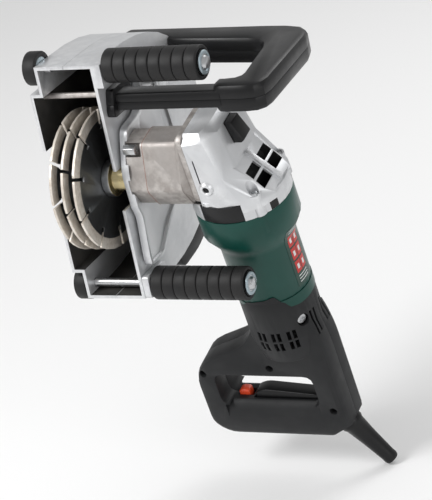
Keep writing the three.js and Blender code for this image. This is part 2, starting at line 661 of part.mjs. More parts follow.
// Cooling air leaves through a grille on the slope: four openings about a long rib and a short bar.
const slope = new THREE.Matrix4()
  .makeRotationY(Math.atan2(HEAD.flare - 1, 28.5))
  .setPosition(15, 0, -1); // x runs down the slope, z stands off it
const onSlope = (x0, x1, y0, y1, z0, z1) => box(x0, x1, y0, y1, z0, z1).transform(slope.toArray());
const airPassage = union(
  plate(rounded([[19.5, -9], [41, -31], [41, -60], [19.5, -60]]), "z'", -GRILLE.half, GRILLE.half),
  ringDown(32, 41, 36, HEAD.base + 3, 24),
).intersect(rodDown(HEAD.r - HEAD.wall, 0, HEAD.base + 3, [0, 0], 32));
const middle = (GRILLE.from + GRILLE.to) / 2 - 0.5;
const windows = [[GRILLE.from, middle - GRILLE.bar / 2], [middle + GRILLE.bar / 2, GRILLE.to]].flatMap(
  ([x0, x1]) => [-1, 1].map((side) => {
    const [near, far] = [side * (GRILLE.rib / 2 + 0.8), side * GRILLE.half];
    return onSlope(x0, x1, Math.min(near, far), Math.max(near, far), -9, 9);
  }),
);
const slopeRib = onSlope(1, 38, -GRILLE.rib / 2, GRILLE.rib / 2, -2, GRILLE.proud);
const screwAt = [[28, 29], [28, -29], [-12, 37], [-12, -37]];
const screwBosses = screwAt.map((at) => rodDown(6.5, 24, HEAD.base, at, 14));
const screwHoles = screwAt.map((at) => rodDown(2.4, 20, 60, at, 10));
const panelSector = (side, r0, r1, grow) => {
  const sector = new THREE.Shape();
  const half = rad(26) + grow / HEAD.r;
  sector.moveTo(0, 0);
  sector.lineTo(90 * Math.cos(half), -90 * Math.sin(half));
  sector.lineTo(90 * Math.cos(half), 90 * Math.sin(half));
  sector.closePath();
  const wedge = plate(sector, "z", -HEAD.base - 5, -HEAD.base + 17 + grow);
  const turn = new THREE.Matrix4().makeRotationZ(rad(side * 92));
  return wedge.transform(turn.toArray()).intersect(ringDown(r0, r1, 0, HEAD.base + (grow ? 5 : -GAP), 28));
};
const buttonPocket = (grow) => box(6 - grow, 40, -8 - grow, 8 + grow, 14 - grow, 35 + grow);
add(
  "gear_head",
  cut(
    union(headOuter, screwBosses, slopeRib),
    headInner,
    airPassage,
    windows,
    screwHoles,
    screwAt.map((at) => rodDown(4.8, -20, 26, at, 14)),
    caseKeepOut,
    rodDown(11, 30, 60, [0, 0], 20),
    panelSector(-1, HEAD.r - 1.6, HEAD.r + 5, GAP),
    panelSector(1, HEAD.r - 1.6, HEAD.r + 5, GAP),
    buttonPocket(GAP),
  ),
  FINISH.castSilver,
  motorFrame,
);
add("head_panel_front", panelSector(-1, HEAD.r - 1.3, HEAD.r, 0), FINISH.black, motorFrame);
add("head_panel_back", panelSector(1, HEAD.r - 1.3, HEAD.r, 0), FINISH.black, motorFrame);
screwAt.forEach((at, i) =>
  add(
    `head_screw_${i + 1}`,
    union(rodDown(4.2, 22.5, 26 - GAP, at, 14), rodDown(2, 24, 58, at, 10)),
    FINISH.steel,
    motorFrame,
  ),
);
add(
  "spindle_lock_button",
  plate(rounded([[8.5, 14], [20, 14], [23.5, 17], [16, 35], [8.5, 35]]), "z'", -8, 8),
  FINISH.darkGrey,
  motorFrame,
);

// ---------------------------------------------------------------- motor housing and motor
const bodyTop = HEAD.base + GAP;
add(
  "motor_housing",
  cut(
    union(
      turnedDown(
        [[HEAD.r - BODY.wall, bodyTop], [HEAD.r, bodyTop], [HEAD.r, BODY.shoulder],
          [BODY.r + 2, BODY.neck - 3],
          [BODY.r, BODY.neck + 3], [BODY.r, BODY.end], [BODY.r - BODY.wall, BODY.end],
          [BODY.r - BODY.wall, BODY.neck], [HEAD.r - BODY.wall, BODY.shoulder],
          [HEAD.r - BODY.wall, bodyTop]],
        28,
      ),
      screwAt.map((at) => rodDown(5, bodyTop, 64, at, 12)),
    ),
    screwAt.map((at) => rodDown(2.4, 20, 61, at, 10)),
  ),
  FINISH.green,
  motorFrame,
);
const pinionApex = (BEVEL.wheelTeeth * BEVEL.module) / 2; // heel plane of the motor pinion
const pinionFace = BEVEL.face * Math.cos(Math.atan2(BEVEL.motorTeeth, BEVEL.wheelTeeth));
const upZ = new THREE.Matrix4().setPosition(0, 0, -pinionApex);
add(
  "motor_pinion",
  cut(
    solid(bevelBlank(BEVEL.motorTeeth, BEVEL.module, pinionFace, pinionApex, Math.PI), upZ),
    rodDown(MOTOR.shaftR + 0.1, 0, 60, [0, 0], 20),
  ),
  FINISH.steel,
  motorFrame,
);
add("motor_bearing_front", ringDown(MOTOR.shaftR + 0.1, 10.7, 35, 43, 24), FINISH.steel, motorFrame);
add("motor_bearing_rear", ringDown(MOTOR.shaftR + 0.1, 9, 188, 195, 24), FINISH.steel, motorFrame);
const fanBlades = [];
for (let i = 0; i < FAN.blades; i++) {
  const turn = new THREE.Matrix4().makeRotationZ((2 * Math.PI * i) / FAN.blades);
  fanBlades.push(box(11, FAN.r, -0.8, 0.8, -FAN.m0 - 9, -FAN.m0 - 1).transform(turn.toArray()));
}
add(
  "cooling_fan",
  union(ringDown(MOTOR.shaftR + 0.1, 12, FAN.m0, FAN.m0 + 10, 16),
    ringDown(11, FAN.r, FAN.m0, FAN.m0 + 2, 20), fanBlades),
  FINISH.darkGrey,
  motorFrame,
);
add(
  "armature",
  union(rodDown(MOTOR.shaftR, 17, 196, [0, 0], 16), ringDown(MOTOR.shaftR - 1, 18.5, 82, 126, 20),
    ringDown(MOTOR.shaftR - 1, 12, 150, 168, 20)),
  FINISH.copper,
  motorFrame,
);
const stator = ringDown(20, BODY.r - BODY.wall - GAP, BODY.neck + 6, BODY.end - 19, 28);
add("stator", stator, FINISH.copper, motorFrame);

// ---------------------------------------------------------------- rear housing with the spade handle
const H = HANDLE;
const bootDir = new THREE.Vector2(27, 42).normalize(); // in (x', m)
const loopSide = [
  [26, 158], [34, 180, 10], [H.right, 206, 12], [H.right, H.end - 12], [19, H.end, 3],
  [H.left + 16, H.end, 9], [H.left, H.end - 12, 9],
  [H.left, H.top + 6, 10], [H.left + 12, H.top - 14, 12], [-44, 206, 14], [-30, 186], [-20, 170],
].map(([x, m, r]) => [x, -m, r]);
const fingerGap = [
  [H.openL, H.top, 9], [H.openR, H.top, 9], [H.openR, H.grip, 9], [H.openL, H.grip, 9],
].map(([x, m, r]) => [x, -m, r]);
// The grip's upper edges are rounded away, front and back.
const gripRounding = [1, -1].map((side) => {
  const section = [[21, 296], [18.6, 286], [14.5, 279.5], [10, H.grip - 0.5], [21, H.grip - 0.5]];
  const outline = rounded(section.map(([n, m]) => [side * n, -m]));
  return plate(outline, "x", H.openL + 2, H.openR - 2);
});
const wells = [[-94, 240], [-23, 231], [27, 281]]; // screws that clamp the halves
const screwWells = wells.flatMap(([x, m]) =>
  [[-30, -12], [12, 30]].map(([from, to]) => rod(3.8, from, to, "y", [x, 0, -m], 16)),
);
const slotBox = (x0, x1, m0, m1, halfWidth) => box(x0, x1, -halfWidth, halfWidth, -m1, -m0);
// A slot is [angle from the x' axis, from, to, half width]; each half of the housing has the same slots.
const slots = [59, 83, 107].flatMap((middle) =>
  [middle - 4.5, middle + 4.5].flatMap((angle) =>
    [VENT.from, VENT.from + VENT.pitch].map((from) => [angle, from, from + VENT.length, 1.7]),
  ),
);
slots.push([12, 168, 194, 1.2], [20, 168, 194, 1.2]);
const ventSlots = slots.flatMap(([angle, from, to, half]) =>
  [1, -1].map((side) =>
    box(20, 60, -half, half, -to, -from)
      .transform(new THREE.Matrix4().makeRotationZ(rad(side * angle)).toArray()),
  ),
);
const brushHoles = [1, -1].map((side) =>
  rod(6, 26, 60, "x", [0, 0, -VENT.brush], 20)
    .transform(new THREE.Matrix4().makeRotationZ(rad(side * 35)).toArray()),
);
const bootTurn = new THREE.Matrix4().makeRotationY(-Math.atan2(bootDir.x, bootDir.y));
const bootAt = new THREE.Vector3((H.right + 19) / 2, 0, -(2 * H.end - 12) / 2);
const bootPiece = (profile, segments) => {
  const matrix = bootTurn.clone().multiply(new THREE.Matrix4().makeRotationX(-Math.PI / 2));
  return solid(
    new THREE.LatheGeometry(profile.map(([r, s]) => new THREE.Vector2(r, s)), segments),
    matrix.setPosition(bootAt),
  );
};
const tail = cut(
  union(
    turnedDown(
      [[0, BODY.end + GAP], [TAIL.r, BODY.end + GAP], [TAIL.r, 192], [TAIL.r - 5, 214], [TAIL.r - 18, 224],
        [0, 224]],
      28,
    ),
    plate(rounded(loopSide), "z'", -TAIL.half, TAIL.half, { round: 6 }),
  ),
  turnedDown(
    [[0, BODY.end - 2], [TAIL.r - TAIL.wall, BODY.end - 2], [TAIL.r - TAIL.wall, 188],
      [14, TAIL.cavityEnd], [0, TAIL.cavityEnd]],
    32,
  ),
  plate(rounded(fingerGap), "z'", -60, 60),
  slotBox(TRIGGER.x0 - 2, TRIGGER.x1 + 1.5, H.grip - 9, TRIGGER.m1 + TRIGGER.travel + 3, TRIGGER.half + 1),
  slotBox(LOCK_OFF.x0 - 1, LOCK_OFF.x1 + LOCK_OFF.travel + 1, H.grip - 9, 290, 5),
  ventSlots,
  brushHoles,
  gripRounding,
  screwWells,
  bootPiece([[0, -12], [4.2, -12], [4.2, 20], [0, 20]], 16),
);
add("rear_housing_front", tail.intersect(box(-150, 90, -90, -GAP / 2, -400, 0)), FINISH.darkGrey, motorFrame);
add("rear_housing_back", tail.intersect(box(-150, 90, GAP / 2, 90, -400, 0)), FINISH.darkGrey, motorFrame);

add(
  "trigger",
  plate(
    rounded([
      [TRIGGER.x0, TRIGGER.m0 + 4, 3], [TRIGGER.x0 + 10, TRIGGER.m0, 5], [TRIGGER.x1 - 8, TRIGGER.m0 + 5, 4],
      [TRIGGER.x1, TRIGGER.m0 + 11, 3], [TRIGGER.x1, TRIGGER.m1, 2], [TRIGGER.x0, TRIGGER.m1, 2],
    ].map(([x, m, r]) => [x, -m, r])),
    "z'", -TRIGGER.half, TRIGGER.half, { round: 1.5 },
  ),
  FINISH.black,
  motorFrame,
);
add(
  "lock_off_slider",
  plate(
    rounded([
      [LOCK_OFF.x0, H.grip - 4, 2], [LOCK_OFF.x0 + 4, H.grip - 6, 2], [LOCK_OFF.x1, H.grip - 5, 2],
      [LOCK_OFF.x1, 289.4], [LOCK_OFF.x0, 289.4],
    ].map(([x, m, r]) => [x, -m, r])),
    "z'", -4.4, 4.4, { round: 1 },
  ),
  FINISH.red,
  motorFrame,
);
add(
  "cord_boot",
  bootPiece(
    [[3.2, GAP], [11.5, GAP], [11.5, 4], [10.2, 6.5], [8.4, 26], [7, 50], [7.2, 54], [6.2, 57], [3.2, 57],
      [3.2, GAP]],
    24,
  ),
  FINISH.black,
  motorFrame,
);

export default chaser;
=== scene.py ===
"""Looks of the wall chaser: cast guard, discs, rollers, gear head, motor and handles.

Every piece is made in the CAD's own frame, in metres."""

import json
import math

import bmesh
import bpy
from mathutils import Matrix, Vector, geometry


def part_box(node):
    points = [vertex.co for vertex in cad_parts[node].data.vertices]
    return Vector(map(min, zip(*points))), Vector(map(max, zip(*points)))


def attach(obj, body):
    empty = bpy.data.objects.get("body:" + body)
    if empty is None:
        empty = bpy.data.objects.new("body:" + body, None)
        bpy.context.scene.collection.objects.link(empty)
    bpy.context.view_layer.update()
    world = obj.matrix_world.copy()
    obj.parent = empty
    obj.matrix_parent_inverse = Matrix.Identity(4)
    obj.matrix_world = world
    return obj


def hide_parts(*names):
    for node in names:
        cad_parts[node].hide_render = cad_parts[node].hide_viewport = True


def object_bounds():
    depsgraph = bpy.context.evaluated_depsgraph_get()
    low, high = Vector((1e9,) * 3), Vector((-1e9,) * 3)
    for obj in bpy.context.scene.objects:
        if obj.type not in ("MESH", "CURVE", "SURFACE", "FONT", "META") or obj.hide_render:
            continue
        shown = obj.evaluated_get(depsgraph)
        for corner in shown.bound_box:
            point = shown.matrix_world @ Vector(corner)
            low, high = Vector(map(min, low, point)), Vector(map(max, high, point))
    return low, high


MM = 0.001
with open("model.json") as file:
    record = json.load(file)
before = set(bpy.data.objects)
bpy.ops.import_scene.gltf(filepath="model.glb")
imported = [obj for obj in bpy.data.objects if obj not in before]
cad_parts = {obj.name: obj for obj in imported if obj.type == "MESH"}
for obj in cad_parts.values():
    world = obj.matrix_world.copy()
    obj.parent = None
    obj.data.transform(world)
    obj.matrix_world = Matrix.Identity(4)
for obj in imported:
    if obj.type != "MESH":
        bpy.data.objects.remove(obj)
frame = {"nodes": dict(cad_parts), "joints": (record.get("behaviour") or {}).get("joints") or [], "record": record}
cad_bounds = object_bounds()
record = frame["record"]
NODES = frame["nodes"]
BODY_OF = {node: body for body, members in record["behaviour"]["bodies"].items() for node in members}
SLOT_OF = {part["node"]: part["material_slot"] for part in record["subparts"]}
MOTOR_JOINT = next(joint for joint in frame["joints"] if joint["name"] == "motor_spin")

# how far each kind of piece has its edges rounded
EDGE_ROUND = 0.5 * MM
CAST_ROUND = 0.9 * MM
GUARD_ROUND = 0.8 * MM
BUTTON_ROUND = 1.0 * MM
MOULDING_ROUND = 0.6 * MM
HUB_ROUND = 0.4 * MM
TURNED_ROUND = 0.3 * MM
DISC_ROUND = 0.15 * MM

SMOOTH_BELOW = math.radians(34)  # facets that meet flatter than this shade as one surface
WELD_BELOW = 0.004 * MM  # CAD corners nearer than this are one corner
GROWN_WELD = 0.002 * MM  # the same for a piece grown by a node tree
SLIVER_BELOW = 0.003 * MM  # edges shorter than this are closed up
FLAT_WITHIN = math.radians(0.6)  # facets this close to one plane become one face


# ---------------------------------------------------------------- shader groups
def shader_group(name, inputs, outputs):
    """An empty shader node group: inputs are (name, kind, default), outputs are (name, kind)."""
    tree = bpy.data.node_groups.new(name, "ShaderNodeTree")
    for label, kind, default in inputs:
        socket = tree.interface.new_socket(label, in_out="INPUT", socket_type="NodeSocket" + kind)
        if default is not None:
            socket.default_value = default
    for label, kind in outputs:
        tree.interface.new_socket(label, in_out="OUTPUT", socket_type="NodeSocket" + kind)
    return tree, tree.nodes.new("NodeGroupInput"), tree.nodes.new("NodeGroupOutput")


def node(tree, kind, **settings):
    made = tree.nodes.new(kind)
    for key, value in settings.items():
        setattr(made, key, value)
    return made


def feed(tree, socket, value):
    """Gives an input socket a plain value, or the output of another node."""
    if isinstance(value, bpy.types.NodeSocket):
        tree.links.new(value, socket)
    else:
        socket.default_value = value


def noise(tree, vector, scale, detail):
    made = node(tree, "ShaderNodeTexNoise")
    feed(tree, made.inputs["Vector"], vector)
    feed(tree, made.inputs["Scale"], scale)
    feed(tree, made.inputs["Detail"], float(detail))
    feed(tree, made.inputs["Roughness"], 0.55)
    return made.outputs["Fac"]


def spread(tree, value, low, high, to_low=0.0, to_high=1.0):
    """Maps a value from one range to another."""
    made = node(tree, "ShaderNodeMapRange")
    feed(tree, made.inputs["Value"], value)
    for label, end in (("From Min", low), ("From Max", high), ("To Min", to_low), ("To Max", to_high)):
        feed(tree, made.inputs[label], end)
    return made.outputs["Result"]


def arithmetic(tree, operation, a, b):
    made = node(tree, "ShaderNodeMath", operation=operation)
    feed(tree, made.inputs[0], a)
    feed(tree, made.inputs[1], b)
    return made.outputs[0]


def mixed_colour(tree, factor, a, b):
    made = node(tree, "ShaderNodeMix", data_type="RGBA")
    for index, value in ((0, factor), (6, a), (7, b)):  # the factor, then the two colours
        feed(tree, made.inputs[index], value)
    return made.outputs[2]


def build_mottle():
    """Soft cloudy change of colour and roughness over a surface."""
    tree, given, out = shader_group(
        "mottle",
        [
            ("Vector", "Vector", None),
            ("Colour", "Color", (0.5, 0.5, 0.5, 1)),
            ("Other Colour", "Color", (0.4, 0.4, 0.4, 1)),
            ("Scale", "Float", 30.0),
            ("Roughness", "Float", 0.4),
            ("Roughness Spread", "Float", 0.1),
        ],
        [("Colour", "Color"), ("Roughness", "Float")],
    )
    cloud = noise(tree, given.outputs["Vector"], given.outputs["Scale"], detail=5)
    share = spread(tree, cloud, 0.35, 0.65)
    colour = mixed_colour(tree, share, given.outputs["Colour"], given.outputs["Other Colour"])
    about_middle = arithmetic(tree, "SUBTRACT", share, 0.5)
    change = arithmetic(tree, "MULTIPLY", about_middle, given.outputs["Roughness Spread"])
    tree.links.new(colour, out.inputs["Colour"])
    tree.links.new(arithmetic(tree, "ADD", given.outputs["Roughness"], change), out.inputs["Roughness"])
    return tree


def build_grain():
    """Fine skin relief: a casting's sand texture or a moulding's spark-eroded stipple."""
    tree, given, out = shader_group(
        "skin_grain",
        [
            ("Vector", "Vector", None),
            ("Scale", "Float", 900.0),
            ("Strength", "Float", 0.2),
            ("Depth", "Float", 0.0002),
        ],
        [("Normal", "Vector")],
    )
    relief = noise(tree, given.outputs["Vector"], given.outputs["Scale"], detail=2)
    bump = node(tree, "ShaderNodeBump")
    tree.links.new(relief, bump.inputs["Height"])
    tree.links.new(given.outputs["Strength"], bump.inputs["Strength"])
    tree.links.new(given.outputs["Depth"], bump.inputs["Distance"])
    tree.links.new(bump.outputs["Normal"], out.inputs["Normal"])
    return tree


def build_wear():
    """Bright rubbed edges: where the surface turns sharply, broken up by a fine noise."""
    tree, given, out = shader_group(
        "edge_wear",
        [("Vector", "Vector", None), ("Scale", "Float", 120.0), ("Amount", "Float", 0.5)],
        [("Mask", "Float")],
    )
    surface = node(tree, "ShaderNodeNewGeometry")
    ridge = spread(tree, surface.outputs["Pointiness"], 0.515, 0.56)
    patches = noise(tree, given.outputs["Vector"], given.outputs["Scale"], detail=4)
    broken = spread(tree, patches, 0.42, 0.62)
    rubbed = arithmetic(tree, "MULTIPLY", ridge, broken)
    tree.links.new(arithmetic(tree, "MULTIPLY", rubbed, given.outputs["Amount"]), out.inputs["Mask"])
    return tree


def build_brushed():
    """Turning or grinding lines that run round or along a piece."""
    tree, given, out = shader_group(
        "tool_marks",
        [
            ("Vector", "Vector", None),
            ("Stretch", "Vector", (1.0, 30.0, 30.0)),
            ("Scale", "Float", 60.0),
            ("Strength", "Float", 0.15),
        ],
        [("Shade", "Float"), ("Normal", "Vector")],
    )
    stretched = node(tree, "ShaderNodeVectorMath", operation="MULTIPLY")
    tree.links.new(given.outputs["Vector"], stretched.inputs[0])
    tree.links.new(given.outputs["Stretch"], stretched.inputs[1])
    lines = noise(tree, stretched.outputs[0], given.outputs["Scale"], detail=4)
    bump = node(tree, "ShaderNodeBump")
    bump.inputs["Distance"].default_value = 0.1 * MM
    tree.links.new(lines, bump.inputs["Height"])
    tree.links.new(given.outputs["Strength"], bump.inputs["Strength"])
    tree.links.new(lines, out.inputs["Shade"])
    tree.links.new(bump.outputs["Normal"], out.inputs["Normal"])
    return tree


MOTTLE, GRAIN, WEAR, BRUSHED = build_mottle(), build_grain(), build_wear(), build_brushed()


# ---------------------------------------------------------------- materials
def placed(tree, group, vector, **values):
    """A shader group inside a material, fed with object coordinates and its own values."""
    made = node(tree, "ShaderNodeGroup", node_tree=group)
    tree.links.new(vector, made.inputs["Vector"])
    for label, value in values.items():
        made.inputs[label.replace("_", " ")].default_value = value
    return made


def rgb(red, green, blue):
    return (red, green, blue, 1.0)


def shade_of(colour, factor):
    return tuple(c * factor for c in colour[:3]) + (1.0,)


WEAR_SCALE = 140.0
COAT_ROUGHNESS = 0.25
OTHER_SHADE = 0.86  # the cloud's second colour where a finish names none
MARK_SHADE = 0.55  # how dark the grooves of tool marks are
MARK_SHARE = 0.35  # how much of that shade shows


def finish(name, colour, other=None, metallic=0.0, roughness=0.4, rough_spread=0.12, cloud=25.0,
           grain=(900.0, 0.15, 0.0002), wear=0.0, wear_colour=None, marks=None, coat=0.0, gloss=0.5):
    """One finish: cloudy colour, skin grain or tool marks, worn edges.

    grain is scale, strength and depth; marks is the stretch along each axis, scale and strength."""
    material = bpy.data.materials.new(name)
    material.use_nodes = True
    tree = material.node_tree
    shader = tree.nodes["Principled BSDF"]
    at = node(tree, "ShaderNodeTexCoord").outputs["Object"]
    mottle = placed(tree, MOTTLE, at, Colour=colour, Other_Colour=other or shade_of(colour, OTHER_SHADE),
                    Scale=cloud, Roughness=roughness, Roughness_Spread=rough_spread)
    base, rough = mottle.outputs["Colour"], mottle.outputs["Roughness"]
    shader.inputs["Metallic"].default_value = metallic
    shader.inputs["Coat Weight"].default_value = coat
    shader.inputs["Specular IOR Level"].default_value = gloss
    shader.inputs["Coat Roughness"].default_value = COAT_ROUGHNESS
    if marks:
        stretch, scale, strength = marks
        relief = placed(tree, BRUSHED, at, Stretch=stretch, Scale=scale, Strength=strength)
        dark = spread(tree, relief.outputs["Shade"], 0.3, 0.7, 0.0, MARK_SHARE)
        base = mixed_colour(tree, dark, base, shade_of(colour, MARK_SHADE))
    else:
        scale, strength, depth = grain
        relief = placed(tree, GRAIN, at, Scale=scale, Strength=strength, Depth=depth)
    tree.links.new(relief.outputs["Normal"], shader.inputs["Normal"])
    if wear:
        mask = placed(tree, WEAR, at, Scale=WEAR_SCALE, Amount=wear).outputs["Mask"]
        base = mixed_colour(tree, mask, base, wear_colour)
    tree.links.new(base, shader.inputs["Base Color"])
    tree.links.new(rough, shader.inputs["Roughness"])
    return material


TURNED = ((2.0, 40.0, 40.0), 40.0, 0.1)  # lathe marks round X
GROUND = ((30.0, 30.0, 2.0), 30.0, 0.12)  # grinding marks across a disc's face
WOUND = ((2.0, 2.0, 60.0), 60.0, 0.4)  # turns of winding wire
MATERIALS = {
    "cast_silver": finish(
        "silver_casting", rgb(0.64, 0.645, 0.655), rgb(0.56, 0.57, 0.585), metallic=0.6, roughness=0.36,
        cloud=18, grain=(1500.0, 0.22, 0.00015), wear=0.35, wear_colour=rgb(0.86, 0.87, 0.88)),
    "cast_dull": finish(
        "raw_casting", rgb(0.47, 0.44, 0.42), rgb(0.36, 0.33, 0.31), metallic=0.75, roughness=0.5,
        rough_spread=0.2, cloud=55, grain=(1100.0, 0.45, 0.0002), wear=0.6,
        wear_colour=rgb(0.7, 0.67, 0.64)),
    "steel": finish(
        "turned_steel", rgb(0.60, 0.61, 0.62), metallic=0.95, roughness=0.28, marks=TURNED),
    "disc_steel": finish(
        "disc_steel", rgb(0.20, 0.205, 0.21), rgb(0.15, 0.155, 0.16), metallic=0.9, roughness=0.36,
        marks=GROUND),
    "zinc": finish(
        "yellow_zinc", rgb(0.70, 0.58, 0.30), rgb(0.55, 0.47, 0.28), metallic=0.95, roughness=0.27,
        cloud=60, marks=TURNED),
    "green_plastic": finish(
        "green_moulding", rgb(0.002, 0.054, 0.041), rgb(0.0015, 0.044, 0.033), roughness=0.34,
        grain=(2600.0, 0.12, 0.0001), coat=0.06, gloss=0.3),
    "dark_plastic": finish(
        "graphite_moulding", rgb(0.0175, 0.018, 0.019), rgb(0.0125, 0.013, 0.014), roughness=0.5,
        grain=(2600.0, 0.3, 0.00012), gloss=0.25),
    "black_plastic": finish(
        "black_moulding", rgb(0.005, 0.005, 0.0055), rgb(0.0035, 0.0035, 0.004), roughness=0.36,
        grain=(2600.0, 0.22, 0.00012), gloss=0.32),
    "rubber": finish(
        "roller_rubber", rgb(0.010, 0.010, 0.0105), rgb(0.015, 0.0145, 0.0145), roughness=0.55,
        cloud=70, grain=(1800.0, 0.3, 0.00015), gloss=0.3),
    "red_plastic": finish(
        "red_moulding", rgb(0.80, 0.075, 0.022), roughness=0.33, grain=(2600.0, 0.1, 0.0001), coat=0.2),
    "copper": finish(
        "winding_copper", rgb(0.62, 0.30, 0.15), metallic=0.9, roughness=0.4, marks=WOUND),
    "segment": finish(
        "diamond_segment", rgb(0.74, 0.69, 0.62), rgb(0.56, 0.50, 0.43), metallic=0.45, roughness=0.42,
        rough_spread=0.25, cloud=160, grain=(1400.0, 0.6, 0.0003)),
    "hub": finish(
        "wheel_hub", rgb(0.42, 0.50, 0.54), metallic=0.7, roughness=0.35, marks=TURNED),
    # painted shade: near black, standing for the deep shade inside the disc chamber and the wheel pockets
    "painted_chamber_shade": finish(
        "painted_chamber_shade", rgb(0.012, 0.0115, 0.011), rgb(0.03, 0.028, 0.025), roughness=0.7,
        cloud=45, grain=(1200.0, 0.4, 0.0002)),
    "sealant": finish("case_sealant", rgb(0.30, 0.10, 0.06), roughness=0.6),
    "label_dark": finish("label_dark", rgb(0.012, 0.05, 0.036), roughness=0.35),
    "label_red": finish("label_red", rgb(0.55, 0.03, 0.025), roughness=0.35),
    "label_white": finish("label_white", rgb(0.75, 0.76, 0.75), roughness=0.4),
    "shadow": finish("inner_shadow", rgb(0.006, 0.006, 0.006), roughness=0.8),
}


# ---------------------------------------------------------------- piece helpers
def place_piece(piece, body, replaced, materials):
    """Gives a mesh its materials and its body, and hides the CAD nodes it stands for."""
    piece.data.materials.clear()
    for material in materials:
        piece.data.materials.append(MATERIALS[material])
    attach(piece, body)
    if replaced:
        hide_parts(*replaced)
    return piece


def new_piece(name, mesh):
    piece = bpy.data.objects.new(name, mesh)
    bpy.context.scene.collection.objects.link(piece)
    return piece


def smooth(mesh):
    for polygon in mesh.polygons:
        polygon.use_smooth = True
    mesh.set_sharp_from_angle(angle=SMOOTH_BELOW)


def baked(piece):
    """Turns a piece's modifiers into plain geometry."""
    bpy.context.view_layer.update()
    evaluated = piece.evaluated_get(bpy.context.evaluated_depsgraph_get())
    mesh = bpy.data.meshes.new_from_object(evaluated)
    piece.modifiers.clear()
    piece.data = mesh


def mesh_from_bmesh(name, bm):
    mesh = bpy.data.meshes.new(name)
    bm.to_mesh(mesh)
    bm.free()
    return mesh


def merged_copy(cad_node):
    """The CAD node's shape as one joined mesh with its flat faces whole."""
    source = NODES[cad_node].data
    bm = bmesh.new()
    vertices = [bm.verts.new(v.co) for v in source.vertices]
    for polygon in source.polygons:
        try:
            bm.faces.new([vertices[i] for i in polygon.vertices])
        except ValueError:  # the same face twice
            continue
    bmesh.ops.remove_doubles(bm, verts=bm.verts, dist=WELD_BELOW)
    bmesh.ops.dissolve_degenerate(bm, edges=bm.edges, dist=SLIVER_BELOW)
    bmesh.ops.dissolve_limit(bm, angle_limit=FLAT_WITHIN, verts=bm.verts, edges=bm.edges)
    return bm


DONE = set()  # CAD nodes that have their finish or a piece that stands for them


def dress(cad_node, width=EDGE_ROUND, material=None, second=None, choose=None):
    """Stands for a CAD node with the same shape, rounded edges and smooth round faces.

    second and choose give a second finish to the faces that choose(centre, normal) accepts."""
    DONE.add(cad_node)
    name = cad_node + "_finished"
    piece = new_piece(name, mesh_from_bmesh(name, merged_copy(cad_node)))
    bevel = piece.modifiers.new("edges", "BEVEL")
    bevel.width, bevel.segments = width, 2
    bevel.limit_method, bevel.angle_limit = "ANGLE", SMOOTH_BELOW
    bevel.use_clamp_overlap = True
    baked(piece)
    smooth(piece.data)
    slot = SLOT_OF[cad_node]
    finishes = [material or slot] + ([second] if second else [])
    place_piece(piece, BODY_OF[cad_node], [cad_node], finishes)
    if second:
        for polygon in piece.data.polygons:
            polygon.material_index = int(choose(polygon.center, polygon.normal))


def centre_of(cad_node):
    low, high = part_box(cad_node)
    return (low + high) / 2


# ---------------------------------------------------------------- motor frame
# The motor leans away from the wall: across, off the wall, and down it from the crossing shafts.
down_axis = Vector(MOTOR_JOINT["axis"]).normalized()
across = Vector((1, 0, 0))
off_wall = (-down_axis).cross(across).normalized()
MOTOR_FRAME = Matrix((across, off_wall, -down_axis)).transposed().to_4x4()
MOTOR_FRAME.translation = Vector(MOTOR_JOINT["pos_m"])


def at_motor(point):
    """Across, off the wall and down the motor, in millimetres, to the frame's metres."""
    x, n, m = point
    return MOTOR_FRAME @ Vector((x * MM, n * MM, -m * MM))


def in_motor(point):
    """The frame's point as across, off the wall and down the motor, in millimetres."""
    local = MOTOR_FRAME.inverted() @ Vector(point)
    return local.x / MM, local.y / MM, -local.z / MM


# ---------------------------------------------------------------- geometry node trees
def geometry_tree(name, inputs):
    """A geometry node tree with named inputs; returns it with its ends and its input identifiers."""
    tree = bpy.data.node_groups.new(name, "GeometryNodeTree")
    tree.interface.new_socket("Geometry", in_out="INPUT", socket_type="NodeSocketGeometry")
    identifiers = {}
    for label, kind, default in inputs:
        socket = tree.interface.new_socket(label, in_out="INPUT", socket_type="NodeSocket" + kind)
        if default is not None:
            socket.default_value = default
        identifiers[label] = socket.identifier
    tree.interface.new_socket("Geometry", in_out="OUTPUT", socket_type="NodeSocketGeometry")
    return tree, tree.nodes.new("NodeGroupInput"), tree.nodes.new("NodeGroupOutput"), identifiers


def wire(tree, made, **links):
    """Feeds a node's inputs from sockets or values; a label's spaces are written as underscores."""
    for label, value in links.items():
        feed(tree, made.inputs[label.replace("_", " ")], value)
    return made


def vector_of(tree, x=0.0, y=0.0, z=0.0):
    return wire(tree, node(tree, "ShaderNodeCombineXYZ"), X=x, Y=y, Z=z).outputs[0]


def ending(tree, instances, given, out):
    """Every tree ends alike: real geometry with its material."""
    real = wire(tree, node(tree, "GeometryNodeRealizeInstances"), Geometry=instances)
    painted = wire(tree, node(tree, "GeometryNodeSetMaterial"), Geometry=real.outputs[0],
                   Material=given.outputs["Material"])
    tree.links.new(painted.outputs[0], out.inputs[0])


